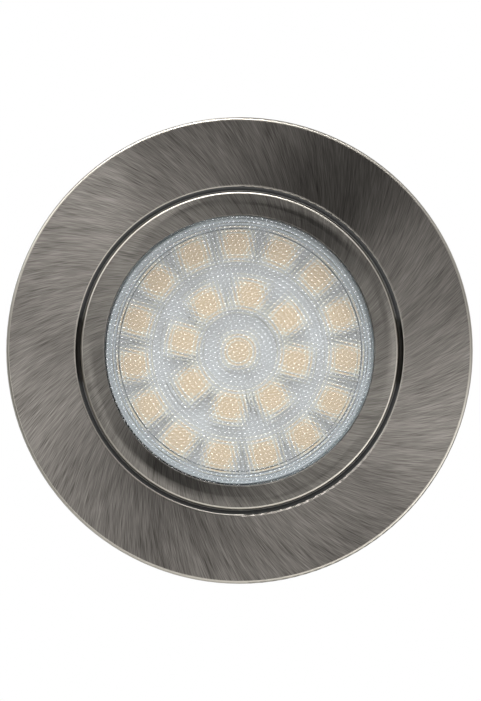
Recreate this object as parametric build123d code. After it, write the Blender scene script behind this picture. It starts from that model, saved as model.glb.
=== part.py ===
from build123d import *
import os
from math import asin, atan, atan2, ceil, cos, pi, radians, sin, sqrt

# Recessed tilting spotlight for a porch ceiling or soffit, in millimetres.
# The face looks along -Y, the panel lies in the XZ plane at y = 0, and depth behind the panel is +Y.
# Turned pieces are drawn as (radius, depth) on the XY plane. The lamp tilts about the X direction,
# and the panel clips fold about the Z direction at both ends of that axis.

# Clearances
snug = 0.02
running = 0.05
slip = 0.2

# Trim: the flange that shows, and the collar that fills the cut-out of the panel
flange_width = 8.0
rim_height = 1.8
rim_wall = 1.6
rim_round = 0.6
lip_height = 2.6
lip_round = 0.35
face_crown = 0.12
collar_length = 5.0
collar_wall = 1.6
collar_gap = 1.3
gasket_thickness = 0.9
gasket_shoulder = 1.6

# Tilt ring: a ball-sided ring that swings about two pivots behind the panel
ring_wall = 4.1
ring_tail = 1.2
ring_lip_height = 2.25
ring_lip_round = 0.5
ring_crest_height = 2.7
ring_crest_inset = 1.7
ring_crest_round = 4.0
ring_opening_height = 2.6
ring_opening_round = 0.25
ring_web = 1.9
tilt_gap = 0.8
tilt_depth = 6.5
tilt_limit = 20.0

# Pivots
pivot_radius = 1.5
pivot_engagement = 1.9
pivot_flat = 0.35
pivot_inset = 0.3
pivot_slot_width = 0.6
pivot_slot_depth = 0.8
washer_thickness = 0.7
washer_radius = 2.8

# Lamp module: lens, board and heat sink
module_diameter = 50.0
lens_seat = 1.3
lens_proud = 0.15
lens_slip = 0.08
lens_wall = 1.6
lens_flange = 1.2
lens_round = 0.5
lens_hollow_inset = 0.8
seal_thickness = 0.8
seal_width = 2.0
board_inset = 2.1
board_thickness = 1.2
pad_thickness = 0.5
sink_rim_wall = 2.8
sink_floor = 3.0
sink_flange = 1.5
sink_wall = 1.5
sink_chamfer = 0.4
fin_count = 30
fin_thickness = 1.1
fin_reach = 2.9
fin_length = 6.2
wire_diameter = 1.6
wire_bite = 0.4
wire_opening = 50.0

# Light-emitting diodes: one in the middle and two rings round it, with the first angle of each ring
led_edge = 3.2
led_ring_ratio = 0.5356
led_outer_count = 15
led_outer_angle = 19.5
led_inner_count = 8
led_inner_angle = 34.6
led_fill = 0.708
led_wall = 0.35
led_height = 1.6
led_window_depth = 0.4

# Driver: its space, its liner and the parts on its board, placed in the plane of the face
driver_space = 8.5
driver_board_thickness = 1.2
driver_behind = 3.6
liner_wall = 0.8
pin_radius = 0.45
pin_spacing = 5.0
pin_ring_gap = 4.7
pin_end = 0.4
pin_cover = 0.4
bush_radius = 1.2
capacitor_radius = 3.15
capacitor_length = 11.0
capacitor_place = (0.0, -10.0)
film_size = (10.0, 4.5, 6.5)
film_place = (0.0, 8.0)
inductor_radius = 4.0
inductor_height = 6.5
inductor_cheek = 1.1
inductor_waist_radius = 2.9
inductor_place = (-11.0, 0.0)
bridge_size = (5.0, 6.5, 2.4)
bridge_place = (10.5, 4.0)
fuse_radius = 1.4
fuse_length = 7.0
fuse_place = (12.0, -4.5)
chip_size = (5.0, 4.0, 1.5)
chip_place = (0.0, 0.5)

# Rear cover and cable inlet
cover_wall = 1.5
cover_round = 1.4
cover_lug = 2.0
cover_lug_radius = 1.9
cover_rib = 1.2
cover_rib_length = 5.0
cover_rib_angles = (30.0, 150.0, 270.0)
screw_angles = (90.0, 210.0, 330.0)
screw_radius = 0.9
screw_length = 6.0
screw_head_radius = 1.6
screw_head = 1.2
screw_cross_width = 0.5
screw_cross_length = 1.8
screw_cross_depth = 0.6
inlet_place = (0.0, 9.5)
inlet_boss = 1.0
inlet_boss_radius = 6.3
grommet_bore_radius = 2.75
grommet_wall = 0.95
grommet_lip = 1.4
grommet_outer_flange = 1.8
grommet_inner_flange = 1.2

# Panel clips, their ears and hinge pins
clip_grip_gap = 1.0
clip_shyness = 0.6
clip_hinge_behind = 2.2
clip_width = 8.0
clip_sheet = 0.8
clip_bend = 1.2
clip_foot = 4.4
clip_cheek_length = 5.0
clip_heel = 0.3
clip_stop_gap = 0.15
clip_knuckle_radius = 2.0
clip_pad_wall = 0.8
clip_pad_round = 0.5
hinge_pin_radius = 1.0
hinge_head_radius = 1.6
hinge_head = 0.7
ear_thickness = 1.6
ear_gap = 0.4
ear_radius = 2.6
ear_foot = 3.4
ear_hook_radius = 1.3
bracket_inset = 0.4

# Torsion springs of the clips
spring_wire = 0.7
spring_mean_radius = 1.75
spring_turns = 4
spring_pitch = 1.2
spring_leg = 5.0
spring_hook = 2.6
spring_hook_end = 0.5
spring_bend = 1.0

# Radii that follow from the sizes above, from the lamp module outwards
module_radius = module_diameter / 2
opening_radius = module_radius - lens_seat
lens_radius = opening_radius - lens_slip
lens_flange_radius = module_radius - slip
recess_radius = module_radius - sink_rim_wall
board_radius = recess_radius - slip
led_outer_radius = board_radius - led_edge
led_inner_radius = led_outer_radius * led_ring_ratio
led_size = led_fill * 2 * pi * led_inner_radius / led_inner_count
wire_centre_radius = module_radius - wire_bite + wire_diameter / 2
fin_radius = module_radius - wire_bite - slip
core_radius = fin_radius - fin_reach
cavity_radius = core_radius - sink_wall
liner_radius = cavity_radius - slip
screw_circle_radius = fin_radius - cover_lug_radius
grommet_neck_radius = grommet_bore_radius + grommet_wall
bore_radius = module_radius + slip
ball_radius = bore_radius + ring_wall
ring_radius = sqrt(ball_radius**2 - (tilt_depth + ring_lip_height) ** 2)
swing_radius = ball_radius + tilt_gap
collar_inner_radius = swing_radius + collar_gap
collar_radius = collar_inner_radius + collar_wall
bracket_radius = collar_radius - bracket_inset
trim_radius = collar_radius + flange_width
gasket_outer_radius = trim_radius - rim_wall
gasket_inner_radius = collar_radius + gasket_shoulder
spring_outer_radius = spring_mean_radius + spring_wire / 2

# Depths that follow, from the front to the back
seat_depth = ring_web - ring_opening_height
lens_front = -ring_opening_height - lens_proud
lens_back = seat_depth + lens_flange
sink_front = lens_back + seal_thickness
board_face = sink_front + board_inset
pin_front = board_face + pin_cover
pad_face = board_face + board_thickness
sink_face = pad_face + pad_thickness
sink_rim_back = sink_face + sink_flange
sink_floor_back = sink_face + sink_floor
sink_back = sink_rim_back + fin_length
groove_front = sink_rim_back - running
groove_back = sink_rim_back + wire_diameter + running
ring_end = groove_back + ring_tail
driver_face = sink_floor_back + driver_space
driver_back = driver_face + driver_board_thickness
cover_inside = driver_back + driver_behind
cover_back = cover_inside + cover_wall
inlet_back = cover_back + inlet_boss

# Places along X of the pivots, and heights along Z of the clip ears
ring_flat = ball_radius - pivot_flat
boss_face = ring_flat + washer_thickness + running
pivot_tip = ring_flat - pivot_engagement
pivot_end = bracket_radius - pivot_inset
ear_inside = clip_width / 2 + ear_gap
ear_outside = ear_inside + ear_thickness

# Depth that the tilt ring's back edge reaches beside the clip ears at the end of its swing
ring_edge = ring_end - tilt_depth
ring_edge_height = (ear_outside + ring_edge * sin(radians(tilt_limit))) / cos(radians(tilt_limit))
ring_reach = tilt_depth + ring_edge * cos(radians(tilt_limit)) + ring_edge_height * sin(radians(tilt_limit))

# The clip seen along Z: its plate runs under the spring coil and down to the foot, and folds back
# until it stands inside the collar
plate_offset = spring_outer_radius + running + clip_sheet / 2
hinge = Vector(bracket_radius - plate_offset - clip_sheet / 2 - running, ring_reach + clip_hinge_behind)
hook = hinge + Vector(-spring_mean_radius, spring_hook)
clip_reach = trim_radius - clip_shyness
panel_least = collar_length + clip_grip_gap
foot_depth = panel_least + clip_pad_wall + clip_sheet / 2
foot_end = Vector(clip_reach - clip_pad_wall, foot_depth)
knee = foot_end - Vector(clip_foot, 0)
to_knee = knee - hinge
plate_angle = atan2(to_knee.Y, to_knee.X) + asin(plate_offset / to_knee.length)
plate_along = Vector(cos(plate_angle), sin(plate_angle))
plate_across = Vector(-plate_along.Y, plate_along.X)

START = (Align.CENTER, Align.CENTER, Align.MIN)


def throat_radius(depth):
    """Radius, at a depth, of the ball-shaped space that the tilt ring swings in."""
    return sqrt(swing_radius**2 - (depth - tilt_depth) ** 2)


def plate_point(run, offset):
    """Point at a run along the clip's plate, at an offset from the hinge towards the panel."""
    return hinge + plate_along * run - plate_across * offset


def polar(radius, angle):
    """Point in the plane of the face, with its angle in degrees from +X towards +Z."""
    return radius * cos(radians(angle)), radius * sin(radians(angle))


def turned(edges, rounds=()):
    """Solid turned about the lamp axis from a closed outline, with the given corners rounded."""
    face = make_face(edges)
    for (radius, depth), rounding in rounds:
        face = fillet(face.vertices().sort_by_distance((radius, depth, 0))[0], rounding)
    return revolve(face, Axis.Y)


def slab(sketch, front, back):
    """Sketch in the plane of the face, made solid between two depths."""
    return extrude(Plane.XZ.offset(-front) * sketch, amount=front - back)


def upright(sketch, low, high):
    """Sketch in the XY plane, made solid between two heights along Z."""
    return extrude(Pos(0, 0, low) * sketch, amount=high - low)


def crosswise(radius, start, end):
    """Round bar on the tilt axis between two places along X."""
    return Pos(start, tilt_depth, 0) * Rot(Y=90) * Cylinder(radius, end - start, align=START)


def left_of(solid):
    """The same piece on the other side of the lamp."""
    return mirror(solid, about=Plane.YZ)


def pin_places():
    """Places of the two contact pins in the plane of the face."""
    height = led_outer_radius - pin_ring_gap
    return [Pos(side * pin_spacing / 2, height) for side in (-1, 1)]


def pierced(sketch, radius):
    """Sketch with a hole for each contact pin."""
    for place in pin_places():
        sketch -= place * Circle(radius)
    return sketch


def make_trim():
    """Domed flange with a gasket recess behind it, and the collar."""
    lip = (throat_radius(-lip_height), -lip_height)
    rim = (trim_radius, -rim_height)
    crown = ((lip[0] + rim[0]) / 2, (lip[1] + rim[1]) / 2 - face_crown)
    back = Polyline(
        rim,
        (trim_radius, 0),
        (gasket_outer_radius, 0),
        (gasket_outer_radius, -gasket_thickness),
        (gasket_inner_radius, -gasket_thickness),
        (gasket_inner_radius, 0),
        (collar_radius, 0),
        (collar_radius, collar_length),
        (collar_inner_radius, collar_length),
        (collar_inner_radius, 0),
        (throat_radius(0), 0),
        lip,
    )
    return turned([ThreePointArc(lip, crown, rim), *back.edges()], [(lip, lip_round), (rim, rim_round)])


def make_bracket():
    """Seat of one pivot and one clip: a pad that stops the clip, between two ears."""
    root = -gasket_thickness / 2
    stop = plate_offset + clip_sheet / 2 + clip_stop_gap
    stop_start = plate_point(0, stop)
    stop_end = plate_point(2 * clip_cheek_length, stop)
    outline = Polyline(stop_start, stop_end, (stop_end.X, root), (stop_start.X, root), close=True)
    pad = upright(make_face(outline), -ear_outside, ear_outside)
    boss = crosswise(washer_radius, boss_face, collar_inner_radius) & pad
    foot = Line((bracket_radius - ear_foot, root), (bracket_radius, root))
    knuckle = Pos(hinge) * Circle(ear_radius)
    lobe = Pos(hook) * Circle(ear_hook_radius)
    ear = make_hull([foot, *knuckle.edges(), *lobe.edges()])
    bracket = pad + upright(ear, -ear_outside, -ear_inside) + upright(ear, ear_inside, ear_outside)
    swing = Pos(0, tilt_depth, 0) * Sphere(swing_radius)
    bracket -= split(swing, bisect_by=Plane.XZ.offset(-ring_reach - slip), keep=Keep.TOP)
    bracket &= Rot(X=-90) * Cylinder(bracket_radius, 4 * hinge.Y)
    return bracket + boss


def make_trim_frame():
    """Trim, collar and both brackets in one casting, with the holes of the pivots and clips."""
    bracket = make_bracket()
    frame = make_trim() + bracket + left_of(bracket)
    holes = crosswise(pivot_radius + snug, boss_face, trim_radius)
    holes += Pos(*hinge) * Cylinder(hinge_pin_radius + snug, 4 * ear_outside)
    holes += Pos(hook.X, hook.Y, -ear_outside) * Cylinder(spring_wire / 2 + running, 2 * ear_thickness)
    return frame - holes - left_of(holes)


def make_tilt_ring():
    """Ring with a gently crowned face, a ball-shaped side and a groove for the retaining wire."""
    edge = (opening_radius, -ring_opening_height)
    crest = (ring_radius - ring_crest_inset, -ring_crest_height)
    lip = (ring_radius, -ring_lip_height)
    waist = (ball_radius, tilt_depth)
    end = (sqrt(ball_radius**2 - (ring_end - tilt_depth) ** 2), ring_end)
    groove_radius = wire_centre_radius + wire_diameter / 2 + running
    inside = Polyline(
        end,
        (bore_radius, ring_end),
        (bore_radius, groove_back),
        (groove_radius, groove_back),
        (groove_radius, groove_front),
        (bore_radius, groove_front),
        (bore_radius, seat_depth),
        (opening_radius, seat_depth),
        edge,
        crest,
        lip,
    )
    rounds = [(edge, ring_opening_round), (crest, ring_crest_round), (lip, ring_lip_round)]
    ring = turned([ThreePointArc(lip, waist, end), *inside.edges()], rounds)
    outside = Box(trim_radius, trim_radius, trim_radius, align=(Align.MIN, Align.CENTER, Align.CENTER))
    flat = Pos(ring_flat, tilt_depth, 0) * outside
    hole = crosswise(pivot_radius + running, pivot_tip - slip, trim_radius)
    return ring - flat - left_of(flat) - hole - left_of(hole)


def make_pivot_screw():
    """Slotted grub screw whose plain end carries the tilt ring."""
    slot = Box(2 * pivot_slot_depth, pivot_slot_width, 3 * pivot_radius)
    return crosswise(pivot_radius, pivot_tip, pivot_end) - Pos(pivot_end, tilt_depth, 0) * slot


def make_pivot_washer():
    """Friction washer between the trim's boss and the flat of the tilt ring."""
    start = ring_flat + running
    return crosswise(washer_radius, start, boss_face) - crosswise(pivot_radius + snug, start, boss_face)


def make_retaining_ring():
    """Open wire ring that presses the lamp module against its seat."""
    section = Pos(wire_centre_radius, sink_rim_back + wire_diameter / 2) * Circle(wire_diameter / 2)
    ring = revolve(section, Axis.Y, revolution_arc=360 - wire_opening)
    return Rot(Y=wire_opening / 2 - 90) * ring


def make_lens():
    """Clear cap with a flange behind the ring's web."""
    hollow_radius = lens_radius - lens_hollow_inset
    edge = (lens_radius, lens_front)
    outline = Polyline(
        (0, lens_front),
        edge,
        (lens_radius, seat_depth),
        (lens_flange_radius, seat_depth),
        (lens_flange_radius, lens_back),
        (hollow_radius, lens_back),
        (hollow_radius, lens_front + lens_wall),
        (0, lens_front + lens_wall),
        close=True,
    )
    return turned(outline.edges(), [(edge, lens_round)])


def led_places():
    """Places of the light-emitting diodes, each turned to point along its radius."""
    places = [Pos(0, 0)]
    rings = (
        (led_inner_radius, led_inner_count, led_inner_angle),
        (led_outer_radius, led_outer_count, led_outer_angle),
    )
    for radius, count, first in rings:
        for index in range(count):
            angle = first + index * 360 / count
            places.append(Pos(*polar(radius, angle)) * Rot(Z=angle))
    return places


def make_leds():
    """Packages on the board, and the phosphor that fills the window of each."""
    window = Circle(led_size / 2 - led_wall)
    package = Rectangle(led_size, led_size)
    top = board_face - led_height
    packages = []
    phosphors = []
    for place in led_places():
        phosphor = slab(place * window, top, top + led_window_depth)
        phosphors.append(phosphor)
        packages.append(slab(place * package, top, board_face) - phosphor)
    return packages, phosphors


def make_led_board():
    """Board of the light-emitting diodes, with a blind hole behind for each contact pin."""
    back = slab(pierced(Circle(board_radius), pin_radius + snug), pin_front, pad_face)
    return slab(Circle(board_radius), board_face, pin_front) + back


def make_heat_sink():
    """Cup for the board in front, finned wall round the driver behind, and three screw posts."""
    section = Circle(core_radius)
    fin = Pos(core_radius, 0) * Rectangle(2 * fin_reach, fin_thickness)
    for index in range(fin_count):
        section += Rot(Z=index * 360 / fin_count) * fin
    for angle in screw_angles:
        section += Pos(*polar(screw_circle_radius, angle)) * Circle(cover_lug_radius)
    rim = slab(Circle(module_radius), sink_front, sink_rim_back)
    rim = chamfer(rim.edges().group_by(Axis.Y)[-1], sink_chamfer)
    sink = rim + slab(section, sink_rim_back, sink_back)
    sink -= slab(Circle(recess_radius), sink_front, sink_face)
    sink -= slab(Circle(cavity_radius), sink_floor_back, sink_back)
    for place in pin_places():
        sink -= slab(place * Circle(bush_radius + snug), sink_face, sink_floor_back)
    for angle in screw_angles:
        hole = Pos(*polar(screw_circle_radius, angle)) * Circle(screw_radius + snug)
        sink -= slab(hole, sink_back + cover_lug - screw_length - slip, sink_back)
    return sink


def make_driver_liner():
    """Insulating cup round the driver, with its board on the rim."""
    floor = pierced(Circle(liner_radius), bush_radius + snug)
    liner = slab(floor, sink_floor_back, sink_floor_back + liner_wall)
    wall = Circle(liner_radius) - Circle(liner_radius - liner_wall)
    return liner + slab(wall, sink_floor_back, driver_face)


def on_board(sketch, height):
    """Part on the front side of the driver board, made solid from a sketch to its height."""
    return slab(sketch, driver_face - height, driver_face)


def lying_drum(place, radius, length, turn):
    """Round part that lies on the front side of the driver board, turned in the plane of the face."""
    centre = Plane.XZ.offset(radius + snug - driver_face)
    return centre * Pos(*place) * Rot(Z=turn) * Rot(Y=90) * Cylinder(radius, length)


def make_inductor():
    """Drum core whose cheeks stand over a narrower winding."""
    place = Pos(*inductor_place)
    inductor = on_board(place * Circle(inductor_waist_radius), inductor_height)
    inductor += on_board(place * Circle(inductor_radius), inductor_cheek)
    front = driver_face - inductor_height
    return inductor + slab(place * Circle(inductor_radius), front, front + inductor_cheek)


def make_rear_cover():
    """Moulded cup with screw lugs, ribs that hold the driver board, and a boss round the inlet."""
    edge = (core_radius, cover_back)
    outline = Polyline(
        (0, cover_back),
        edge,
        (core_radius, sink_back),
        (cavity_radius, sink_back),
        (cavity_radius, cover_inside),
        (0, cover_inside),
        close=True,
    )
    cover = turned(outline.edges(), [(edge, cover_round)])
    for angle in screw_angles:
        lug = Pos(*polar(screw_circle_radius, angle)) * Circle(cover_lug_radius)
        cover += slab(lug - Circle(cavity_radius), sink_back, sink_back + cover_lug)
    for angle in cover_rib_angles:
        rib = Pos(cavity_radius - cover_rib_length / 2, 0) * Rectangle(cover_rib_length, cover_rib)
        cover += slab(Rot(Z=angle) * rib, driver_back, cover_inside)
    inlet = Pos(*inlet_place)
    cover += slab(inlet * Circle(inlet_boss_radius), cover_inside, inlet_back)
    cover -= slab(inlet * Circle(grommet_neck_radius + snug), cover_inside, inlet_back)
    for angle in screw_angles:
        place = Pos(*polar(screw_circle_radius, angle))
        cover -= slab(place * Circle(screw_radius + running), sink_back, sink_back + cover_lug)
        cover -= slab(place * Circle(screw_head_radius + running), sink_back + cover_lug, cover_back)
    return cover


def make_cover_screw(angle):
    """Cross-head screw through a lug of the rear cover into its post."""
    place = Pos(*polar(screw_circle_radius, angle))
    seat = sink_back + cover_lug
    head = slab(place * Circle(screw_head_radius), seat, seat + screw_head)
    head = fillet(head.edges().group_by(Axis.Y)[-1], screw_head / 2)
    bar = Rectangle(screw_cross_length, screw_cross_width)
    cross = place * (bar + Rot(Z=90) * bar)
    head -= slab(cross, seat + screw_head - screw_cross_depth, seat + screw_head)
    return head + slab(place * Circle(screw_radius), seat - screw_length, seat)


def make_grommet():
    """Rubber bush that grips the cover's end wall between two flanges."""
    inlet = Pos(*inlet_place)
    front = cover_inside - grommet_inner_flange
    back = inlet_back + grommet_outer_flange
    flange = inlet * Circle(grommet_neck_radius + grommet_lip)
    outer = slab(flange, inlet_back, back)
    outer = fillet(outer.edges().group_by(Axis.Y)[-1], grommet_outer_flange / 2)
    grommet = outer + slab(inlet * Circle(grommet_neck_radius), front, back)
    grommet += slab(flange, front, cover_inside)
    return grommet - slab(inlet * Circle(grommet_bore_radius), front, back)


def make_hinge_pin():
    """Clip pin, headed at both ends outside the ears."""
    end = ear_outside + snug
    pin = Pos(*hinge) * Cylinder(hinge_pin_radius, 2 * end)
    for low in (-end - hinge_head, end):
        pin += Pos(hinge.X, hinge.Y, low) * Cylinder(hinge_head_radius, hinge_head, align=START)
    return pin


def make_clip_arm():
    """Folded sheet arm: a plate with a flat foot, and two cheeks that turn on the pin."""
    start = plate_point(-clip_heel, plate_offset)
    half = clip_width / 2
    arm = upright(trace(FilletPolyline(start, knee, foot_end, radius=clip_bend), clip_sheet), -half, half)
    outer_face = plate_offset + clip_sheet / 2
    base = Line(plate_point(-clip_heel, outer_face), plate_point(clip_cheek_length, outer_face))
    knuckle = Pos(hinge) * Circle(clip_knuckle_radius)
    cheek = make_hull([base, *knuckle.edges()]) - Pos(hinge) * Circle(hinge_pin_radius + running)
    arm += upright(cheek, -half, -half + clip_sheet)
    return arm + upright(cheek, half - clip_sheet, half)


def make_clip_pad(arm):
    """Soft sleeve round the foot of a clip arm."""
    start = knee.X + clip_bend
    thickness = 2 * clip_pad_wall + clip_sheet
    half = clip_width / 2 + clip_pad_wall
    pad = Box(clip_reach - start, thickness, 2 * half)
    pad = fillet(pad.edges().filter_by(Axis.Z), clip_pad_round)
    return Pos((start + clip_reach) / 2, foot_depth, 0) * pad - arm


def biarc(start, start_along, end, end_along):
    """Two tangent arcs that join two points in two given directions."""
    chord = end - start
    both = start_along + end_along
    turn = 2 * (1 - start_along.dot(end_along))
    reach = (-chord.dot(both) + sqrt(chord.dot(both) ** 2 + turn * chord.dot(chord))) / turn
    middle = (start + end + (start_along - end_along) * reach) / 2
    middle_along = chord - both * reach
    return [TangentArc(start, middle, tangent=start_along), TangentArc(middle, end, tangent=middle_along)]


def make_clip_spring():
    """Torsion spring: a hook in the lower ear, a coil round the pin and a leg on the clip's plate."""
    lead = atan(spring_pitch / (2 * pi * spring_mean_radius))
    first = pi
    total = 2 * pi * spring_turns + (plate_angle - pi / 2 - first) % (2 * pi)
    rise = spring_pitch / (2 * pi)

    def at(angle):
        radial = Vector(cos(angle), sin(angle)) * spring_mean_radius
        return hinge + radial + Vector(0, 0, rise * (angle - first - total / 2))

    def heading(angle):
        return Vector(-sin(angle) * cos(lead), cos(angle) * cos(lead), sin(lead))

    corner = at(first) - heading(first) * (spring_hook / cos(lead))
    hook_end = Vector(corner.X, corner.Y, -ear_outside - spring_hook_end)
    edges = list(FilletPolyline(hook_end, corner, at(first), radius=spring_bend).edges())
    steps = ceil(total / (pi / 2))
    for step in range(steps):
        a = first + total * step / steps
        b = first + total * (step + 1) / steps
        edges += biarc(at(a), heading(a), at(b), heading(b))
    last = first + total
    edges.append(Line(at(last), at(last) + heading(last) * spring_leg))
    path = Wire(edges)
    spring = sweep(Plane(path @ 0, z_dir=path % 0) * Circle(spring_wire / 2), path=path)
    report_spring(path, spring)
    return spring


def report_spring(path, spring):
    """Prints the least gap of the spring's wire to itself, and its volume against section times length."""
    samples = 600
    points = [path @ (index / samples) for index in range(samples + 1)]
    apart = ceil(2 * spring_mean_radius / path.length * samples)
    pairs = [(i, j) for i in range(samples) for j in range(i + apart, samples + 1)]
    least = min((points[i] - points[j]).length for i, j in pairs)
    section = pi * spring_wire**2 / 4
    print("spring: least gap %.2f mm" % (least - spring_wire))
    print("spring: volume %.3f, section times length %.3f" % (spring.volume, section * path.length))


trim_gasket = slab(
    Circle(gasket_outer_radius - running) - Circle(gasket_inner_radius + running), -gasket_thickness, 0
)
seal_ring = Circle(lens_flange_radius) - Circle(lens_flange_radius - seal_width)
led_packages, led_phosphors = make_leds()
pivot_screw = make_pivot_screw()
pivot_washer = make_pivot_washer()
hinge_pin = make_hinge_pin()
clip_arm = make_clip_arm()
clip_pad = make_clip_pad(clip_arm)
clip_spring = make_clip_spring()
contact_pins = [
    slab(place * Circle(pin_radius), pin_front + snug, driver_back + pin_end) for place in pin_places()
]
pin_bushes = [
    slab(place * (Circle(bush_radius) - Circle(pin_radius + snug)), sink_face, sink_floor_back + liner_wall)
    for place in pin_places()
]

nodes = {
    "trim_frame": make_trim_frame(),
    "panel_gasket": trim_gasket,
    "tilt_ring": make_tilt_ring(),
    "pivot_screws": [pivot_screw, left_of(pivot_screw)],
    "pivot_washers": [pivot_washer, left_of(pivot_washer)],
    "retaining_ring": make_retaining_ring(),
    "lens": make_lens(),
    "lens_seal": slab(seal_ring, lens_back, sink_front),
    "led_board": make_led_board(),
    "led_packages": led_packages,
    "led_phosphors": led_phosphors,
    "thermal_pad": slab(pierced(Circle(board_radius), bush_radius), pad_face, sink_face),
    "heat_sink": make_heat_sink(),
    "contact_pins": contact_pins,
    "pin_bushes": pin_bushes,
    "driver_liner": make_driver_liner(),
    "driver_board": slab(pierced(Circle(liner_radius), pin_radius + snug), driver_face, driver_back),
    "bridge_rectifier": on_board(Pos(*bridge_place) * Rectangle(*bridge_size[:2]), bridge_size[2]),
    "smoothing_capacitor": lying_drum(capacitor_place, capacitor_radius, capacitor_length, 0),
    "film_capacitor": on_board(Pos(*film_place) * Rectangle(*film_size[:2]), film_size[2]),
    "inductor": make_inductor(),
    "fuse_resistor": lying_drum(fuse_place, fuse_radius, fuse_length, 90),
    "driver_chip": on_board(Pos(*chip_place) * Rectangle(*chip_size[:2]), chip_size[2]),
    "rear_cover": make_rear_cover(),
    "cover_screws": [make_cover_screw(angle) for angle in screw_angles],
    "cable_grommet": make_grommet(),
    "clip_pins": [hinge_pin, left_of(hinge_pin)],
    "clip_arm_right": clip_arm,
    "clip_arm_left": left_of(clip_arm),
    "clip_spring_right": clip_spring,
    "clip_spring_left": left_of(clip_spring),
    "clip_pad_right": clip_pad,
    "clip_pad_left": left_of(clip_pad),
}

os.makedirs("parts", exist_ok=True)
for name, shape in nodes.items():
    pieces = shape if isinstance(shape, list) else [shape]
    solids = [solid for piece in pieces for solid in piece.solids()]
    export_step(Compound(children=solids), f"parts/{name}.step")
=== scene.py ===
import math

import bpy
import numpy as np
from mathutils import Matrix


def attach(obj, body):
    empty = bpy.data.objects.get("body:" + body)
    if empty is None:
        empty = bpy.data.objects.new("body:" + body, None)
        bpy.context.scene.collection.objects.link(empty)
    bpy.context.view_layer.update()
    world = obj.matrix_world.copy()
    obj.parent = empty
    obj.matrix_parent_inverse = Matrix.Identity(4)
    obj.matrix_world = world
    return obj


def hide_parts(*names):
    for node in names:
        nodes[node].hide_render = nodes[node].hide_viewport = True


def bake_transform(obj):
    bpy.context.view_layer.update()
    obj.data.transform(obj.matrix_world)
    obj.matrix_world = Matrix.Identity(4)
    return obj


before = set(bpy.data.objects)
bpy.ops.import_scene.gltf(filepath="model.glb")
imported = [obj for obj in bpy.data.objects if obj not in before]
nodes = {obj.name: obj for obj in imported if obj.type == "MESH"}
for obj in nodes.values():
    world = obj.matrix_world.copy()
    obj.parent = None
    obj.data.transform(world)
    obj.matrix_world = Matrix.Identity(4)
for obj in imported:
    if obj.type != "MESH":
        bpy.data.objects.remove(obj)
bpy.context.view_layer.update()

MM = 0.001

# Camera: straight in front of the face, so far away that the tilting ring's ball side fills the gap. The
# width and middle of the trim in pixels set its scale, in a plane 1 mm in front of the origin
IMAGE_WIDTH = 481
TRIM_DIAMETER = 82 * MM
TRIM_PIXELS = 466.5
TRIM_CENTRE = 239.5
CAMERA_DISTANCE = 1200 * MM
RIM_PLANE = 1 * MM
SENSOR_WIDTH = 36

# Lens in millimetres: rings of dimples round a middle one, six more on each ring than on the one inside it
LENS_FRONT = -2.75
LENS_FLOOR = -2.53
LENS_BACK = -1.15
LENS_RADIUS = 23.62
LENS_ROUND = 0.15
LENS_SEAT = -0.7
LENS_FLANGE_RADIUS = 24.8
LENS_FLANGE_BACK = 0.5
LENS_HOLLOW_RADIUS = 23.3
LENS_EDGE_POINTS = 6
LENS_CREASE = math.radians(30)
DIMPLE_CENTRE = np.array([-0.25, 0.0, -0.25])
DIMPLE_PITCH = 0.826
DIMPLE_RINGS = 28
DIMPLES_MORE = 6
DIMPLE_PHASE = math.radians(45)
# Shares of a dimple's width at which it has points, from its middle, over the crest, to the next middle
DIMPLE_SHARES = np.array([0.0, 0.13, 0.3, 0.5, 0.7, 0.87])
# Hyperbola of a dimple's section: the slope that its sides steepen towards, and its half axis
DIMPLE_FLANK = 1.6
DIMPLE_TIP = 0.9
# A face counts as part of a dimple if it lies no further than this behind the dimples' floor
DIMPLE_MARGIN = LENS_ROUND / 100

# Range in which nearly all values of a noise pattern lie, and their mean
NOISE_LOW = 0.3
NOISE_HIGH = 0.7
NOISE_MEAN = 0.5
# How far the roughness of a grained surface wanders either way
ROUGHNESS_SPREAD = 0.06

# Brush strokes on the metal: how far they lean off the radius, and the radius midway over both rings
BRUSH_LEAN = math.radians(33)
BRUSH_MIDDLE = 33 * MM
# Lean, spacing and length of each set of strokes. Real strokes are finer than the picture can show, so these
# are drawn as coarse as they need to be
FINE_STROKES = (BRUSH_LEAN, 0.12 * MM, 3.0 * MM)
WIDE_STROKES = (BRUSH_LEAN - math.radians(8), 0.22 * MM, 4.5 * MM)
BROAD_STROKES = (BRUSH_LEAN, 1.8 * MM, 9.0 * MM)
# Shares of the wide and the broad strokes, the values of their mix that are darkest and lightest, and the
# depth of the scratches
WIDE_SHARE = 0.36
BROAD_SHARE = 0.2
STROKE_DARKEST = 0.34
STROKE_LIGHTEST = 0.66
STROKE_DEPTH = 0.012 * MM

# Black lacquer between the rings, whose black also paints the shade in the gap: the middle and half the
# width of the band that it covers, and the depths at which it starts and covers fully
SHADE_LACQUER_MIDDLE = 29.0 * MM
SHADE_LACQUER_HALF_WIDTH = 4.5 * MM
SHADE_LACQUER_START = -1.7 * MM
SHADE_LACQUER_FULL = -1.3 * MM
# Pivots: the height off their axis up to which the gap is painted light grey, as painted light, and from
# which it is lacquered, and the depth in front of which the painted light grey ends and behind which the
# brackets are plated
PIVOT_PAINTED_LIGHT = 4.5 * MM
PIVOT_SHADE_LACQUERED = 6.5 * MM
PAINTED_LIGHT_END = 2.0 * MM
BRACKET_START = 3.0 * MM

# Roughness of the plating in dark and in light strokes, of its polished edges, and of the black lacquer that
# also paints the gap's shade
DARK_ROUGHNESS = 0.44
LIGHT_ROUGHNESS = 0.36
POLISHED_ROUGHNESS = 0.28
SHADE_LACQUER_ROUGHNESS = 0.6

# Rounded edges that the brush leaves bright, of the tilt ring's lip, the trim's lip and the trim's rim:
# radius and depth of the line that the round is drawn about, and the least and the greatest radius it spans
POLISHED_EDGES = [(27.43, -1.837, 27.54, 28.1), (28.98, -2.237, 28.7, 28.98), (40.4, -1.261, 40.46, 41.2)]

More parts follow.
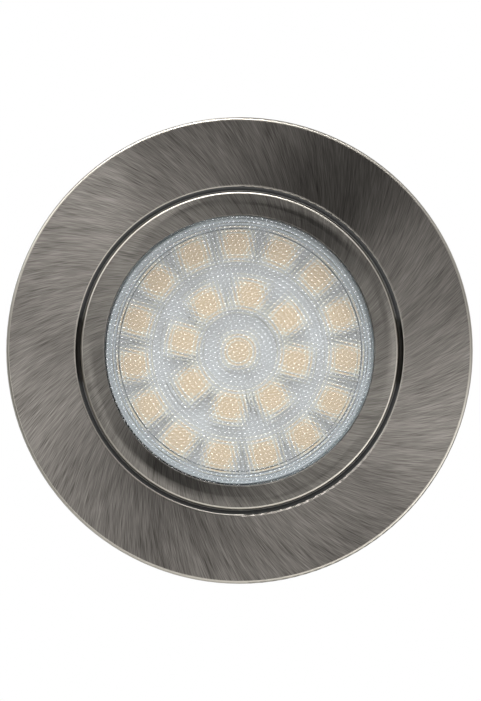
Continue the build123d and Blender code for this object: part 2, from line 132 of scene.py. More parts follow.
# Torsion springs of the panel clips, in millimetres
HINGE = np.array([29.6, 14.023146, 0.0])
PLATE_ANGLE = math.radians(-33.8317)
SPRING_WIRE = 0.7
SPRING_RADIUS = 1.75
SPRING_TURNS = 4
SPRING_PITCH = 1.2
SPRING_LEG = 5.0
SPRING_HOOK = 2.6
SPRING_HOOK_END = -6.5
SPRING_BEND = 1.0
# Points along the helix, the hook, the rounded corner, the lead from there into the helix, and the leg
HELIX_POINTS = 260
HOOK_POINTS = 16
BEND_POINTS = 14
LEAD_POINTS = 10
LEG_POINTS = 24
# Sides of the wire, the share of its radius at its cut ends, and a line that no part of its path runs along
WIRE_SIDES = 14
WIRE_END = 0.72
SLANTING_LINE = np.array([0.3, 0.5, 0.81])
# Die lines on the wire: how many to a millimetre of its length, how many round it, and their depth
DIE_LINES_ALONG = 0.4
DIE_LINES_ROUND = 40.0
DIE_LINE_DEPTH = 0.004 * MM

# Galvanised sheet: the width of its zinc crystals, and the width and depth of the grain on them
CRYSTAL_WIDTH = 1.6 * MM
CRYSTAL_GRAIN = 0.15 * MM
CRYSTAL_RELIEF = 0.006 * MM

# Floor in millimetres: half its width, its front and back edges and its height
FLOOR_HALF_WIDTH = 3000
FLOOR_FRONT = -900
FLOOR_BACK = 3000
FLOOR_HEIGHT = -650

# Studio: the depth of a direction in front of which the surround is dim and behind which it is bright, and
# its strength in both
STUDIO_FRONT = -0.55
STUDIO_BACK = 0.35
STUDIO_DIM = 0.13
STUDIO_BRIGHT = 0.8


def mesh_piece(name, points, faces, material, uv=None, crease=None, normals=None):
    """Mesh object at the origin from an array of points in millimetres and one of triangles or quads.

    Faces are shaded smooth, up to the angle crease between neighbours where one is given. normals gives
    each corner its own, or zero to leave it as it is. uv holds a place on the wire for each point.
    """
    mesh = bpy.data.meshes.new(name)
    mesh.from_pydata(points * MM, [], faces.tolist())
    mesh.polygons.foreach_set("use_smooth", np.ones(len(mesh.polygons), bool))
    if crease:
        mesh.set_sharp_from_angle(angle=crease)
    if normals is not None:
        mesh.normals_split_custom_set(normals.reshape(-1, 3))
    if uv is not None:
        corners = np.empty(len(mesh.loops), int)
        mesh.loops.foreach_get("vertex_index", corners)
        mesh.uv_layers.new(name="wire").data.foreach_set("uv", uv[corners].ravel())
    mesh.materials.append(material)
    piece = bpy.data.objects.new(name, mesh)
    bpy.context.scene.collection.objects.link(piece)
    return piece


def zipped(first, first_turns, second, second_turns):
    """Triangles between two closed circles of points, each given by its first point's index and its turns.

    A turn is a point's angle over a full circle, and both circles start at 0. Their points are taken in
    order of angle, and each one in turn makes a triangle with the last point passed on either circle.
    """
    first_count = len(first_turns)
    second_count = len(second_turns)
    own = np.concatenate([np.ones(first_count, int), np.zeros(second_count, int)])
    order = np.argsort(np.concatenate([first_turns[1:], [1.0], second_turns[1:], [1.0]]), kind="stable")
    on_first = own[order]
    a = np.cumsum(on_first)
    b = np.cumsum(1 - on_first)
    last_a = first + (a - on_first) % first_count
    last_b = second + (b - (1 - on_first)) % second_count
    new = np.where(on_first == 1, first + a % first_count, second + b % second_count)
    return np.stack([last_a, last_b, new], axis=1)


def dimple_height(radius, angle, ring):
    """Height above the floor of the dimples of a point on a ring of them.

    The distance to the nearest dimple's middle, across the ring and along it, goes into a hyperbola: a
    round bottom that steepens towards an even slope, up to the crest between the dimples.
    """
    step = 2 * math.pi / max(DIMPLES_MORE * ring, 1)
    along = (angle - DIMPLE_PHASE + step / 2) % step - step / 2
    squared = (radius - ring * DIMPLE_PITCH) ** 2 + (ring * DIMPLE_PITCH * along) ** 2
    rise = np.sqrt(DIMPLE_TIP**2 + DIMPLE_FLANK**2 * squared) - DIMPLE_TIP
    return np.minimum(rise, LENS_FLOOR - LENS_FRONT)


def lens_surface():
    """Points and triangles of the whole lens: circles of points, from the front's middle to the back's.

    Over the dimples, circles and the points on them lie at the same shares of a dimple's width. Further
    circles, with as many points as the last of these, follow the edge, the flange and the hollow behind
    them. The dimples lie a little off the middle, as they were cut in the mould.
    """
    single = np.zeros(1)
    circles = [(0.0, single, LENS_FLOOR, DIMPLE_CENTRE)]
    for ring in range(DIMPLE_RINGS + 1):
        dimples = max(DIMPLES_MORE * ring, 2)
        turns = ((np.arange(dimples)[:, None] + DIMPLE_SHARES) / dimples).ravel()
        for share in np.sort((DIMPLE_SHARES + 0.5) % 1.0) - 0.5:
            radius = (ring + share) * DIMPLE_PITCH
            if 0 < radius < LENS_RADIUS - LENS_ROUND:
                height = dimple_height(radius, DIMPLE_PHASE + 2 * math.pi * turns, ring)
                circles.append((radius, turns, LENS_FLOOR - height, DIMPLE_CENTRE))
    edge = np.linspace(0, math.pi / 2, LENS_EDGE_POINTS)
    edge_radius = LENS_RADIUS - LENS_ROUND * (1 - np.sin(edge))
    edge_depth = LENS_FLOOR + LENS_ROUND * (1 - np.cos(edge))
    outline = [
        *zip(edge_radius, edge_depth),
        (LENS_RADIUS, LENS_SEAT),
        (LENS_FLANGE_RADIUS, LENS_SEAT),
        (LENS_FLANGE_RADIUS, LENS_FLANGE_BACK),
        (LENS_HOLLOW_RADIUS, LENS_FLANGE_BACK),
        (LENS_HOLLOW_RADIUS, LENS_BACK),
    ]
    circles += [(radius, turns, depth, np.zeros(3)) for radius, depth in outline]
    circles.append((0.0, single, LENS_BACK, np.zeros(3)))
    points = []
    faces = []
    start = 0
    for index, (radius, turns, depth, centre) in enumerate(circles):
        angle = DIMPLE_PHASE + 2 * math.pi * turns
        depth = np.broadcast_to(depth, len(turns))
        points.append(np.stack([radius * np.cos(angle), depth, radius * np.sin(angle)], axis=1) + centre)
        if index:
            before = circles[index - 1][1]
            faces.append(zipped(start - len(before), before, start, turns))
        start += len(turns)
    faces = np.concatenate(faces)
    distinct = (faces[:, 0] != faces[:, 1]) & (faces[:, 1] != faces[:, 2]) & (faces[:, 0] != faces[:, 2])
    return np.concatenate(points), faces[distinct]


def dimple_normals(points, faces):
    """Normals at the corners of the lens's triangles, and zero for those that lie on no dimple.

    The dimple is the one nearest to the triangle's middle. The normal leans towards that dimple's middle by
    the slope of the hyperbola there, so that a dimple of few faces shades as truly round.
    """
    corners = points[faces]
    middle = corners.mean(axis=1) - DIMPLE_CENTRE
    ring = np.rint(np.hypot(middle[:, 0], middle[:, 2]) / DIMPLE_PITCH)
    step = 2 * math.pi / np.maximum(DIMPLES_MORE * ring, 1)
    angle = DIMPLE_PHASE + step * np.rint((np.arctan2(middle[:, 2], middle[:, 0]) - DIMPLE_PHASE) / step)
    away = np.stack([np.cos(angle), np.zeros(len(angle)), np.sin(angle)], axis=1)
    offset = (corners - (DIMPLE_CENTRE + ring[:, None] * DIMPLE_PITCH * away)[:, None]) * [1, 0, 1]
    squared = np.sum(offset**2, axis=2, keepdims=True)
    slope = DIMPLE_FLANK**2 * offset / np.sqrt(DIMPLE_TIP**2 + DIMPLE_FLANK**2 * squared)
    normals = -slope - [0, 1, 0]
    normals /= np.linalg.norm(normals, axis=2, keepdims=True)
    on_dimple = np.max(corners[..., 1], axis=1) < LENS_FLOOR + DIMPLE_MARGIN
    return normals * on_dimple[:, None, None]


def spring_path():
    """Line of a torsion spring's wire: a straight hook, a rounded corner, a helix round the hinge, a leg.

    The helix turns about Z, from the side of the hinge that faces the light's middle until it runs along
    the plate.
    """
    rise = SPRING_PITCH / (2 * math.pi)
    total = 2 * math.pi * SPRING_TURNS + (PLATE_ANGLE - 1.5 * math.pi) % (2 * math.pi)
    turn = math.pi + np.linspace(0, total, HELIX_POINTS)
    height = rise * (turn - math.pi - total / 2)
    helix = HINGE + np.stack([SPRING_RADIUS * np.cos(turn), SPRING_RADIUS * np.sin(turn), height], axis=1)
    ends = np.array([[-SPRING_RADIUS * np.sin(t), SPRING_RADIUS * np.cos(t), rise] for t in turn[[0, -1]]])
    ends /= np.linalg.norm(ends, axis=1, keepdims=True)
    corner = helix[0] - ends[0] * SPRING_HOOK / math.hypot(ends[0, 0], ends[0, 1])
    up = np.array([0.0, 0.0, 1.0])
    inward = ends[0] - up * ends[0, 2]
    inward /= np.linalg.norm(inward)
    bend = math.acos(ends[0, 2])
    cut = SPRING_BEND * math.tan(bend / 2)
    swing = np.linspace(0, bend, BEND_POINTS)[:, None]
    centre = corner - up * cut + inward * SPRING_BEND
    arc = centre - inward * SPRING_BEND * np.cos(swing) + up * SPRING_BEND * np.sin(swing)
    hook = np.linspace([corner[0], corner[1], SPRING_HOOK_END], arc[0], HOOK_POINTS)[:-1]
    lead = np.linspace(arc[-1], helix[0], LEAD_POINTS)[1:-1]
    leg = np.linspace(helix[-1], helix[-1] + ends[1] * SPRING_LEG, LEG_POINTS)[1:]
    return np.concatenate([hook, arc, lead, helix, leg])


def wire_tube(path, radius, sides):
    """Points, quads and UVs of a round wire: a circle across the path at each of its points.

    The circle is drawn in to the middle at both ends. Its axes are the cross product of the path's direction
    with one slanting line, and that of the direction with the first axis.
    """
    along = np.gradient(path, axis=0)
    along /= np.linalg.norm(along, axis=1, keepdims=True)
    across = np.cross(along, SLANTING_LINE)
    across /= np.linalg.norm(across, axis=1, keepdims=True)
    other = np.cross(along, across)
    swell = np.full(len(path), radius)
    swell[[0, -1]] = WIRE_END * radius
    path, along, across, other = (np.concatenate([a[:1], a, a[-1:]]) for a in (path, along, across, other))
    swell = np.concatenate([[0.0], swell, [0.0]])
    angle = 2 * math.pi * np.arange(sides + 1) / sides
    circle = np.cos(angle)[None, :, None] * across[:, None] + np.sin(angle)[None, :, None] * other[:, None]
    points = path[:, None] + swell[:, None, None] * circle
    run = np.concatenate([[0.0], np.cumsum(np.linalg.norm(np.diff(path, axis=0), axis=1))])
    uv = np.stack(np.broadcast_arrays(run[:, None], angle[None] / (2 * math.pi)), axis=2)
    row = np.arange(len(path) - 1)[:, None] * (sides + 1)
    column = np.arange(sides)[None]
    corner = row + column
    faces = np.stack([corner, corner + 1, corner + sides + 2, corner + sides + 1], axis=2).reshape(-1, 4)
    return points.reshape(-1, 3), faces, uv.reshape(-1, 2)


def linear(colour):
    """Linear RGBA from an sRGB hex colour, by the sRGB curve."""
    channels = np.array([int(colour[i : i + 2], 16) for i in (1, 3, 5)]) / 255
    return (*np.where(channels <= 0.04045, channels / 12.92, ((channels + 0.055) / 1.055) ** 2.4), 1.0)


def add(tree, kind, inputs=None, **settings):
    """Adds a shader node: its settings, and for each input a value or the socket that feeds it."""
    made = tree.nodes.new("ShaderNode" + kind)
    for key, value in settings.items():
        setattr(made, key, value)
    for key, value in (inputs or {}).items():
        if isinstance(value, bpy.types.NodeSocket):
            tree.links.new(value, made.inputs[key])
        else:
            made.inputs[key].default_value = value
    return made


def new_material(name):
    """Empty material, its node tree, and its output."""
    material = bpy.data.materials.new(name)
    material.use_nodes = True
    tree = material.node_tree
    tree.nodes.clear()
    return material, tree, add(tree, "OutputMaterial")


def grained(name, dark, light, roughness, grain, relief, patch=6.0, metallic=0.0):
    """Material with a fine surface grain, whose shade and gloss wander over larger patches.

    grain, relief and patch are in millimetres: the width of the grain, its depth and the width of a patch.
    """
    material, tree, output = new_material(name)
    place = add(tree, "TexCoord").outputs["Object"]
    patches = add(tree, "TexNoise", {"Vector": place, "Scale": 1 / (patch * MM), "Detail": 3.0})
    fine = add(tree, "TexNoise", {"Vector": place, "Scale": 1 / (grain * MM), "Detail": 2.0})
    colour = add(tree, "Mix", {0: patches.outputs[0], 6: linear(dark), 7: linear(light)}, data_type="RGBA")
    smoothest = roughness - ROUGHNESS_SPREAD
    roughest = roughness + ROUGHNESS_SPREAD
    levels = {0: patches.outputs[0], 1: NOISE_LOW, 2: NOISE_HIGH, 3: smoothest, 4: roughest}
    gloss = add(tree, "MapRange", levels)
    bump = add(tree, "Bump", {"Strength": 0.6, "Distance": relief * MM, "Height": fine.outputs[0]})
    surface = add(
        tree,
        "BsdfPrincipled",
        {
            "Base Color": colour.outputs[2],
            "Roughness": gloss.outputs[0],
            "Normal": bump.outputs[0],
            "Metallic": metallic,
        },
    )
    tree.links.new(surface.outputs[0], output.inputs[0])
    return material


def stroke_noise(tree, angle, share, lean, spacing, length):
    """Noise drawn out along brush strokes that lean off the radius.

    A stroke keeps one value of the angle less tan(lean) times the logarithm of the radius, so the noise is
    fine over that angle and slow along the radius. share is the radius over BRUSH_MIDDLE.
    """
    spiral = add(tree, "Math", {0: share, 1: math.e}, operation="LOGARITHM")
    lay = add(tree, "Math", {0: spiral.outputs[0], 1: -math.tan(lean), 2: angle}, operation="MULTIPLY_ADD")
    cosine = add(tree, "Math", {0: lay.outputs[0]}, operation="COSINE")
    sine = add(tree, "Math", {0: lay.outputs[0]}, operation="SINE")
    around = add(tree, "CombineXYZ", {0: cosine.outputs[0], 1: sine.outputs[0], 2: share})
    scales = [BRUSH_MIDDLE / spacing] * 2 + [BRUSH_MIDDLE / length]
    place = add(tree, "VectorMath", {0: around.outputs[0], 1: scales}, operation="MULTIPLY")
    return add(tree, "TexNoise", {"Vector": place.outputs[0], "Scale": 1.0, "Detail": 2.0}).outputs[0]


def polished_edges(tree, depth, flat, radius):
    """Share of polish, and the surface normal with the polished edges truly round.

    On a round, the normal points away from the line that the round is drawn about: across by the radius less
    that line's, and forward by the depth less that line's.
    """
    polished = 0.0
    normal = add(tree, "TexCoord").outputs["Normal"]
    for line_radius, line_depth, least, greatest in POLISHED_EDGES:
        middle = (least + greatest) / 2 * MM
        half_width = greatest * MM - middle
        near = add(tree, "Math", {0: radius, 1: middle, 2: half_width}, operation="COMPARE").outputs[0]
        front = add(tree, "Math", {0: depth, 1: line_depth * MM}, operation="LESS_THAN").outputs[0]
        edge = add(tree, "Math", {0: near, 1: front}, operation="MULTIPLY").outputs[0]
        share = add(tree, "Math", {0: line_radius * MM, 1: radius}, operation="DIVIDE").outputs[0]
        lean = add(tree, "Math", {0: 1.0, 1: share}, operation="SUBTRACT").outputs[0]
        outward = add(tree, "VectorMath", {0: flat, "Scale": lean}, operation="SCALE").outputs[0]
        rise = add(tree, "Math", {0: depth, 1: line_depth * MM}, operation="SUBTRACT").outputs[0]
        forward = add(tree, "CombineXYZ", {1: rise}).outputs[0]
        sum_of_both = add(tree, "VectorMath", {0: outward, 1: forward}, operation="ADD").outputs[0]
        round_normal = add(tree, "VectorMath", {0: sum_of_both}, operation="NORMALIZE").outputs[0]
        normal = add(tree, "Mix", {0: edge, 4: normal, 5: round_normal}, data_type="VECTOR").outputs[1]
        polished = add(tree, "Math", {0: polished, 1: edge}, operation="MAXIMUM").outputs[0]
    turned = add(
        tree,
        "VectorTransform",
        {0: normal},
        vector_type="NORMAL",
        convert_from="OBJECT",
        convert_to="WORLD",
    )
    return polished, turned.outputs[0]


def brushed_gunmetal(name, dark, light):
    """Gunmetal nickel plating on cast zinc, brushed by hand in strokes that lean off the radius.

    The highlight is long across the strokes, so two opposite sides of each ring are light and the others
    dark. Black lacquer covers what lies behind the face, in and about the gap between the rings, and its
    black also paints the shade in the gap. At the pivots the gap is painted a light matt grey, as painted
    light where the brackets shut out the light from behind, and the brackets keep their plating.
    """
    material, tree, output = new_material(name)
    place = add(tree, "TexCoord").outputs["Object"]
    axes = add(tree, "SeparateXYZ", {0: place})
    flat = add(tree, "CombineXYZ", {0: axes.outputs[0], 2: axes.outputs[2]})
    radius = add(tree, "VectorMath", {0: flat.outputs[0]}, operation="LENGTH").outputs["Value"]
    angle = add(tree, "Math", {0: axes.outputs[2], 1: axes.outputs[0]}, operation="ARCTAN2").outputs[0]
    share = add(tree, "Math", {0: radius, 1: BRUSH_MIDDLE}, operation="DIVIDE").outputs[0]
    fine = stroke_noise(tree, angle, share, *FINE_STROKES)
    wide = stroke_noise(tree, angle, share, *WIDE_STROKES)
    broad = stroke_noise(tree, angle, share, *BROAD_STROKES)
    mixed = add(tree, "Mix", {0: WIDE_SHARE, 2: fine, 3: wide}).outputs[0]
    shaded = add(tree, "Mix", {0: BROAD_SHARE, 2: mixed, 3: broad}).outputs[0]
    strokes = add(tree, "MapRange", {0: shaded, 1: STROKE_DARKEST, 2: STROKE_LIGHTEST}).outputs[0]
    # Black lacquer behind the face, in and about the gap between the rings: its black is also painted shade
    # for the gap
    behind = add(tree, "MapRange", {0: axes.outputs[1], 1: SHADE_LACQUER_START, 2: SHADE_LACQUER_FULL}).outputs[0]
    band = {0: radius, 1: SHADE_LACQUER_MIDDLE, 2: SHADE_LACQUER_HALF_WIDTH}
    inside = add(tree, "Math", band, operation="COMPARE").outputs[0]
    painted_gap_share = add(tree, "Math", {0: behind, 1: inside}, operation="MULTIPLY").outputs[0]
    # At the pivots the gap is painted a light matt grey: painted light, where the brackets shut out the
    # light from behind
    height = add(tree, "Math", {0: axes.outputs[2]}, operation="ABSOLUTE").outputs[0]
    beside = add(tree, "MapRange", {0: height, 1: PIVOT_PAINTED_LIGHT, 2: PIVOT_SHADE_LACQUERED}).outputs[0]
    before = add(tree, "MapRange", {0: axes.outputs[1], 1: BRACKET_START, 2: PAINTED_LIGHT_END}).outputs[0]
    masked = add(tree, "Math", {0: beside, 1: before}, operation="MAXIMUM").outputs[0]
    painted_gap_share = add(tree, "Math", {0: painted_gap_share, 1: masked}, operation="MULTIPLY").outputs[0]
    plated = add(tree, "Math", {0: 1.0, 1: painted_gap_share}, operation="SUBTRACT").outputs[0]
    polished, normal = polished_edges(tree, axes.outputs[1], flat.outputs[0], radius)
    colour = add(tree, "Mix", {0: strokes, 6: linear(dark), 7: linear(light)}, data_type="RGBA").outputs[2]
    colour = add(tree, "Mix", {0: polished, 6: colour, 7: linear("#B4AFA6")}, data_type="RGBA").outputs[2]
    # The gap's paint: black lacquer whose black is also painted shade, and at the pivots a light grey that
    # is painted light
    shade_lacquer_black = linear("#2E2D2C")
    painted_light_grey = linear("#77746F")
    gap_paint = add(tree, "Mix", {0: beside, 6: painted_light_grey, 7: shade_lacquer_black}, data_type="RGBA").outputs[2]
    colour = add(tree, "Mix", {0: painted_gap_share, 6: colour, 7: gap_paint}, data_type="RGBA").outputs[2]
    gloss = add(tree, "MapRange", {0: strokes, 3: DARK_ROUGHNESS, 4: LIGHT_ROUGHNESS}).outputs[0]
    gloss = add(tree, "Mix", {0: polished, 2: gloss, 3: POLISHED_ROUGHNESS}).outputs[0]
    gloss = add(tree, "Mix", {0: painted_gap_share, 2: gloss, 3: SHADE_LACQUER_ROUGHNESS}).outputs[0]
    relief = add(tree, "Mix", {0: polished, 2: mixed, 3: NOISE_MEAN}).outputs[0]
    bump = add(tree, "Bump", {"Strength": 0.6, "Distance": STROKE_DEPTH, "Height": relief, "Normal": normal})
    turn = -BRUSH_LEAN - math.pi / 2
    across = add(tree, "VectorRotate", {"Vector": flat.outputs[0], "Angle": turn}, rotation_type="Y_AXIS")
    tangent = add(
        tree,
        "VectorTransform",
        {0: across.outputs[0]},
        vector_type="VECTOR",
        convert_from="OBJECT",
        convert_to="WORLD",
    )
    surface = add(
        tree,
        "BsdfPrincipled",
        {
            "Base Color": colour,
            "Metallic": plated,
            "Roughness": gloss,
            "Specular IOR Level": 0.1,
            "Anisotropic": 0.95,
            "Tangent": tangent.outputs[0],
            "Normal": bump.outputs[0],
        },
    )
    tree.links.new(surface.outputs[0], output.inputs[0])
    return material


def clear_acrylic():
    """Moulded acrylic with a clear hard coat: see-through, with a faint cold tint.

    The coat gives each dimple a crisp white glint. Light bends less than in solid acrylic, so that the
    diodes behind show whole. Light from the lamps goes straight on to what is behind the lens.
    """
    material, tree, output = new_material("clear_moulded_acrylic")
    tint = linear("#F4F8FB")
    surface = add(
        tree,
        "BsdfPrincipled",
        {
            "Base Color": tint,
            "Transmission Weight": 1.0,
            "IOR": 1.25,
            "Roughness": 0.12,
            "Coat Weight": 0.8,
            "Coat Roughness": 0.08,
            "Coat IOR": 1.6,
        },
    )
    through = add(tree, "BsdfTransparent", {0: tint})
    shadow = add(tree, "LightPath").outputs["Is Shadow Ray"]
    mixed = add(tree, "MixShader", {0: shadow, 1: surface.outputs[0], 2: through.outputs[0]})
    tree.links.new(mixed.outputs[0], output.inputs[0])
    return material


def galvanised_sheet():
    """Hot-dip galvanised sheet: dull grey zinc with flat crystals under two millimetres wide."""
    material, tree, output = new_material("galvanised_sheet")
    place = add(tree, "TexCoord").outputs["Object"]
    crystals = add(tree, "TexVoronoi", {"Vector": place, "Scale": 1 / CRYSTAL_WIDTH})
    shade = add(tree, "SeparateColor", {0: crystals.outputs["Color"]})
    greys = {0: shade.outputs[0], 6: linear("#8C8F92"), 7: linear("#B4B7B9")}
    colour = add(tree, "Mix", greys, data_type="RGBA")
    gloss = add(tree, "MapRange", {0: shade.outputs[1], 3: 0.30, 4: 0.46})
    fine = add(tree, "TexNoise", {"Vector": place, "Scale": 1 / CRYSTAL_GRAIN, "Detail": 2.0})
    bump = add(tree, "Bump", {"Strength": 0.4, "Distance": CRYSTAL_RELIEF, "Height": fine.outputs[0]})
    surface = add(
        tree,
        "BsdfPrincipled",
        {
            "Base Color": colour.outputs[2],
            "Metallic": 1.0,
            "Roughness": gloss.outputs[0],
            "Normal": bump.outputs[0],
        },
    )
    tree.links.new(surface.outputs[0], output.inputs[0])
    return material


def drawn_wire():
    """Drawn spring steel: bright, with fine die lines that run along the wire."""
    material, tree, output = new_material("drawn_spring_steel")
    place = add(tree, "UVMap", uv_map="wire").outputs[0]
    scales = (DIE_LINES_ALONG, DIE_LINES_ROUND, 1.0)
    stretched = add(tree, "VectorMath", {0: place, 1: scales}, operation="MULTIPLY")
    lines = add(tree, "TexNoise", {"Vector": stretched.outputs[0], "Scale": 1.0, "Detail": 2.0})
    greys = {0: lines.outputs[0], 6: linear("#777879"), 7: linear("#B9BABB")}
    colour = add(tree, "Mix", greys, data_type="RGBA")
    gloss = add(tree, "MapRange", {0: lines.outputs[0], 1: NOISE_LOW, 2: NOISE_HIGH, 3: 0.32, 4: 0.2})
    bump = add(tree, "Bump", {"Strength": 0.3, "Distance": DIE_LINE_DEPTH, "Height": lines.outputs[0]})
    surface = add(
        tree,
        "BsdfPrincipled",
        {
            "Base Color": colour.outputs[2],
            "Metallic": 1.0,
            "Roughness": gloss.outputs[0],
            "Normal": bump.outputs[0],
        },
    )
    tree.links.new(surface.outputs[0], output.inputs[0])
    return material


# The tilting ring's plating is painted a shade darker than the trim's: painted shade, for a ring whose face
# the light reaches less
trim_gunmetal = brushed_gunmetal("brushed_gunmetal_plating", "#5A5652", "#A09B95")
ring_gunmetal = brushed_gunmetal("gunmetal_plating_painted_darker", "#504D49", "#94908A")
acrylic = clear_acrylic()
wire_steel = drawn_wire()
clip_sheet = galvanised_sheet()
# Closed-cell foam rubber: black and soft, with the cut cells as grain
foam = grained("foam_rubber", "#141414", "#232323", roughness=0.85, grain=0.35, relief=0.10)
# Zinc-plated steel: a pale, slightly clouded bright metal
zinc = grained(
    "zinc_plated_steel",
    "#A2A4A8",
    "#C3C5C9",
    roughness=0.32,
    grain=0.25,
    relief=0.004,
    patch=2.5,
    metallic=1.0,
)
# Natural nylon: a waxy off-white
nylon = grained("natural_nylon", "#D9D4C6", "#E8E4D8", roughness=0.42, grain=0.2, relief=0.005)
# Spring wire of the retaining ring: bright drawn steel
ring_wire = grained(
    "bright_spring_wire",
    "#8C8E90",
    "#B0B2B4",
    roughness=0.28,
    grain=0.2,
    relief=0.004,
    patch=3.0,
    metallic=1.0,
)
# Silicone seal: a dull milky grey-white
silicone = grained("white_silicone", "#A9A9A6", "#B6B6B2", roughness=0.55, grain=0.3, relief=0.006)
# White solder mask over an aluminium board: a cool white, glossy film, painted a darker grey as shade for
# the recess behind the lens
white_mask = grained(
    "white_solder_mask", "#AFACAA", "#BAB7B5", roughness=0.35, grain=0.4, relief=0.004, patch=4.0
)
# Reflector resin of the diode packages: white, warmed by the phosphor that it holds
white_resin = grained(
    "white_reflector_resin", "#BDB5A4", "#C7BFAE", roughness=0.45, grain=0.2, relief=0.003
)
# Phosphor in silicone: an opaque warm yellow, smooth on top
phosphor = grained(
    "yellow_phosphor", "#B99E7C", "#C6AB89", roughness=0.30, grain=0.12, relief=0.003, patch=1.0
)
# Thermal pad: soft blue-grey silicone filled with powder
thermal = grained("thermal_silicone", "#7F93A3", "#92A5B3", roughness=0.75, grain=0.25, relief=0.01)
# Cast aluminium, bead blasted: an even pale grey with a fine matt grain
cast_alloy = grained(
    "blasted_cast_aluminium",
    "#A9ABAD",
    "#C4C6C8",
    roughness=0.48,
    grain=0.16,
    relief=0.012,
    patch=8.0,
    metallic=1.0,
)
# Tinned brass pins: soft silver
tinned = grained(
    "tinned_brass", "#B9B6AE", "#CFCCC4", roughness=0.35, grain=0.2, relief=0.004, metallic=1.0
)
# Moulded insulator: natural white polyester, satin
insulator = grained("moulded_insulator", "#D8D7CF", "#E4E3DC", roughness=0.45, grain=0.2, relief=0.006)
# Driver board: green solder mask on glass laminate
laminate = grained(
    "green_laminate", "#1F5A30", "#2B6B3A", roughness=0.38, grain=0.3, relief=0.006, patch=3.0
)
# Moulded epoxy of chips: matt black
epoxy = grained("black_epoxy", "#1B1B1C", "#28282A", roughness=0.6, grain=0.1, relief=0.004)
# Heat-shrunk sleeve: thin dark blue film
sleeve = grained("heat_shrunk_sleeve", "#141A2C", "#1D2438", roughness=0.32, grain=0.3, relief=0.004)
# Film capacitor case: ochre moulded plastic
ochre = grained("ochre_case", "#B9822A", "#C78F33", roughness=0.4, grain=0.2, relief=0.005)
# Ferrite drum: dark grey ceramic
ferrite = grained("grey_ferrite", "#33312F", "#454340", roughness=0.6, grain=0.15, relief=0.008)
# Resistor coating: baked blue-grey lacquer
lacquer = grained("resistor_lacquer", "#6C93A6", "#7BA1B3", roughness=0.4, grain=0.15, relief=0.006)
# Rear cover: white flame-retardant polyester with the spark-eroded grain of its tool
polyester = grained(
    "white_moulded_polyester", "#DEDEDA", "#E8E8E4", roughness=0.5, grain=0.14, relief=0.012, patch=10.0
)
# Moulded rubber of the grommet and the clip pads: black, with a faint bloom
rubber = grained(
    "black_moulded_rubber", "#161616", "#262524", roughness=0.66, grain=0.2, relief=0.008, patch=3.0
)

finishes = {
    "trim_frame": trim_gunmetal,
    "tilt_ring": ring_gunmetal,
    "panel_gasket": foam,
    "pivot_screws": zinc,
    "pivot_washers": nylon,
    "retaining_ring": ring_wire,
    "lens_seal": silicone,
    "led_board": white_mask,
    "led_packages": white_resin,
    "led_phosphors": phosphor,
    "thermal_pad": thermal,
    "heat_sink": cast_alloy,
    "contact_pins": tinned,
    "pin_bushes": insulator,
    "driver_liner": insulator,
    "driver_board": laminate,
    "bridge_rectifier": epoxy,
    "smoothing_capacitor": sleeve,
    "film_capacitor": ochre,
    "inductor": ferrite,
    "fuse_resistor": lacquer,
    "driver_chip": epoxy,
    "rear_cover": polyester,
    "cover_screws": zinc,
    "cable_grommet": rubber,
    "clip_pins": zinc,
    "clip_arm_right": clip_sheet,
    "clip_arm_left": clip_sheet,
    "clip_pad_right": rubber,
    "clip_pad_left": rubber,
}
for name, material in finishes.items():
    nodes[name].data.materials.clear()
    nodes[name].data.materials.append(material)

lens_points, lens_faces = lens_surface()
lens_normals = dimple_normals(lens_points, lens_faces)
lens = mesh_piece("dimpled_lens", lens_points, lens_faces, acrylic, crease=LENS_CREASE, normals=lens_normals)
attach(lens, "lamp")
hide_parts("lens")

# The springs twist over the length of their coils. The left one is mirrored, and its faces are turned back
wire_points, wire_faces, wire_uv = wire_tube(spring_path(), SPRING_WIRE / 2, WIRE_SIDES)
for side, sign in (("right", 1), ("left", -1)):
    faces = wire_faces if sign == 1 else wire_faces[:, ::-1]
    spring = mesh_piece("wound_spring_" + side, wire_points * [sign, 1, 1], faces, wire_steel, uv=wire_uv)
    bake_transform(spring)
    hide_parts("clip_spring_" + side)

# Floor paper: a matt, pale grey-white, far below the picture
floor_paper = grained(
    "matt_pale_floor", "#E6E6E4", "#EDEDEB", roughness=0.8, grain=2.0, relief=0.02, patch=60.0
)
floor_points = np.array(
    [
        [-FLOOR_HALF_WIDTH, FLOOR_FRONT, FLOOR_HEIGHT],
        [FLOOR_HALF_WIDTH, FLOOR_FRONT, FLOOR_HEIGHT],
        [FLOOR_HALF_WIDTH, FLOOR_BACK, FLOOR_HEIGHT],
        [-FLOOR_HALF_WIDTH, FLOOR_BACK, FLOOR_HEIGHT],
    ]
)
floor = mesh_piece("floor", floor_points, np.array([[0, 1, 2, 3]]), floor_paper)

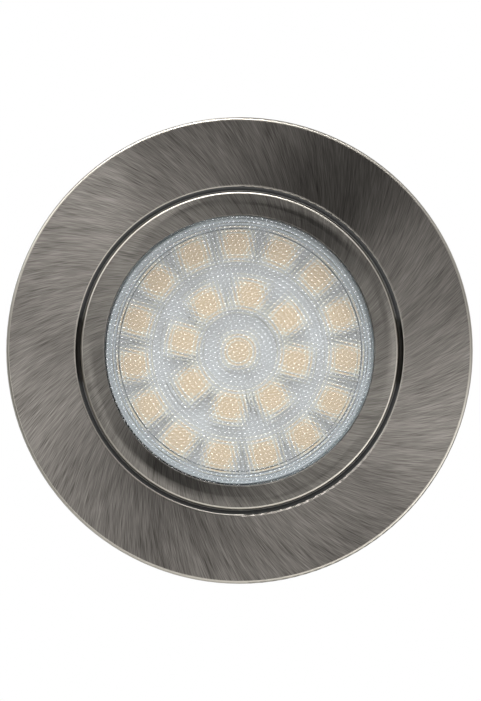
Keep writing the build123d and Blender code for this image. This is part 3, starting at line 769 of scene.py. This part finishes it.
# Surround: white to the camera and through the lens, and else bright behind the light and dimmer before it
world = bpy.data.worlds.new("studio")
bpy.context.scene.world = world
world.use_nodes = True
tree = world.node_tree
tree.nodes.clear()
direction = add(tree, "SeparateXYZ", {0: add(tree, "TexCoord").outputs["Generated"]})
levels = {0: direction.outputs[1], 1: STUDIO_FRONT, 2: STUDIO_BACK, 3: STUDIO_DIM, 4: STUDIO_BRIGHT}
depth = add(tree, "MapRange", levels)
path = add(tree, "LightPath")
rays = {0: path.outputs["Is Camera Ray"], 1: path.outputs["Is Transmission Ray"]}
seen = add(tree, "Math", rays, operation="MAXIMUM")
level = add(tree, "Mix", {0: seen.outputs[0], 2: depth.outputs[0], 3: 1.0})
sky = add(tree, "Background", {"Color": (1.0, 1.0, 1.0, 1.0), "Strength": level.outputs[0]})
tree.links.new(sky.outputs[0], add(tree, "OutputWorld").inputs[0])


def softbox(name, place, size, power):
    """Rectangular soft lamp that faces the middle of the light and isn't seen through the lens.

    Its place and size are in metres, and its power in watts.
    """
    lamp = bpy.data.lights.new(name, "AREA")
    lamp.shape = "RECTANGLE"
    lamp.size, lamp.size_y = size
    lamp.energy = power
    box = bpy.data.objects.new(name, lamp)
    box.location = place
    box.visible_transmission = False
    forward = np.array(place)
    level = math.atan2(forward[2], math.hypot(forward[0], forward[1]))
    box.rotation_euler = (math.pi / 2 - level, 0, math.atan2(forward[0], -forward[1]))
    bpy.context.scene.collection.objects.link(box)


softbox("top_softbox", place=(-0.174, -0.337, 0.816), size=(0.80, 0.24), power=8.6)
softbox("left_softbox", place=(-0.683, -0.337, 0.478), size=(0.50, 0.40), power=2.6)
softbox("right_softbox", place=(0.723, -0.337, -0.417), size=(0.60, 0.60), power=3.1)
softbox("upper_softbox", place=(0.318, -0.636, 0.551), size=(0.60, 0.60), power=1.3)
softbox("lower_softbox", place=(0.318, -0.636, -0.551), size=(0.60, 0.60), power=2.05)
softbox("low_softbox", place=(-0.169, -0.834, -0.292), size=(0.45, 0.45), power=1.0)

camera_data = bpy.data.cameras.new("camera")
camera_data.sensor_fit = "HORIZONTAL"
camera_data.sensor_width = SENSOR_WIDTH
seen_width = TRIM_DIAMETER * IMAGE_WIDTH / TRIM_PIXELS
camera_data.lens = camera_data.sensor_width * (CAMERA_DISTANCE - RIM_PLANE) / seen_width
camera = bpy.data.objects.new("camera", camera_data)
camera.location = ((IMAGE_WIDTH / 2 - TRIM_CENTRE) * TRIM_DIAMETER / TRIM_PIXELS, -CAMERA_DISTANCE, 0)
camera.rotation_euler = (math.pi / 2, 0, 0)
bpy.context.scene.collection.objects.link(camera)
bpy.context.scene.camera = camera
bpy.context.scene.view_settings.view_transform = "Standard"
